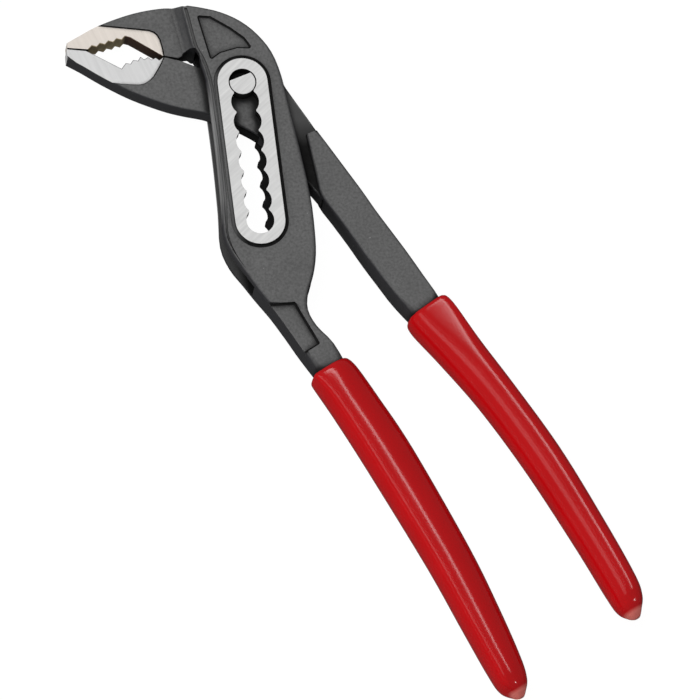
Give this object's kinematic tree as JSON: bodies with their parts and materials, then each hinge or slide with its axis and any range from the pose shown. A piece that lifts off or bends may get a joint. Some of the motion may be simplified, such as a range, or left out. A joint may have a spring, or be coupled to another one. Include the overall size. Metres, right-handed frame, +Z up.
{
  "type": "water pump pliers",
  "caption": "Box-joint water pump pliers: toothed jaws, a through half that seats along a scalloped slot on a flatted pin, and two dipped grips.",
  "frame": {"origin": "pin axis at the first seat of the slot, on the plane of the back ring face that the tool lies on", "axes": "+Z up out of the front ring face, +Y along the slot towards the upper jaw, +X towards the through half's handle"},
  "size_m": [0.1531, 0.2284, 0.0156],
  "materials": {
    "forged_steel": "black phosphated forging with ground faces",
    "ground_steel": "ground bright",
    "dipped_vinyl": "glossy dip coating"
  },
  "bodies": {
    "slotted_side": {"slotted_half": "forged_steel", "slotted_grip": "dipped_vinyl"},
    "pin": {"joint_pin": "ground_steel"},
    "through_side": {"through_half": "forged_steel", "through_grip": "dipped_vinyl"}
  },
  "joints": [
    {"name": "seat_slide", "type": "slide", "parent": "slotted_side", "child": "pin", "axis": [0, -1, 0], "range_m": [0, 0.03828]},
    {"name": "jaw_pivot", "type": "hinge", "parent": "pin", "child": "through_side", "pos_m": [0, 0, 0.0078], "axis": [0, 0, 1], "range_deg": [0, 72]}
  ]
}
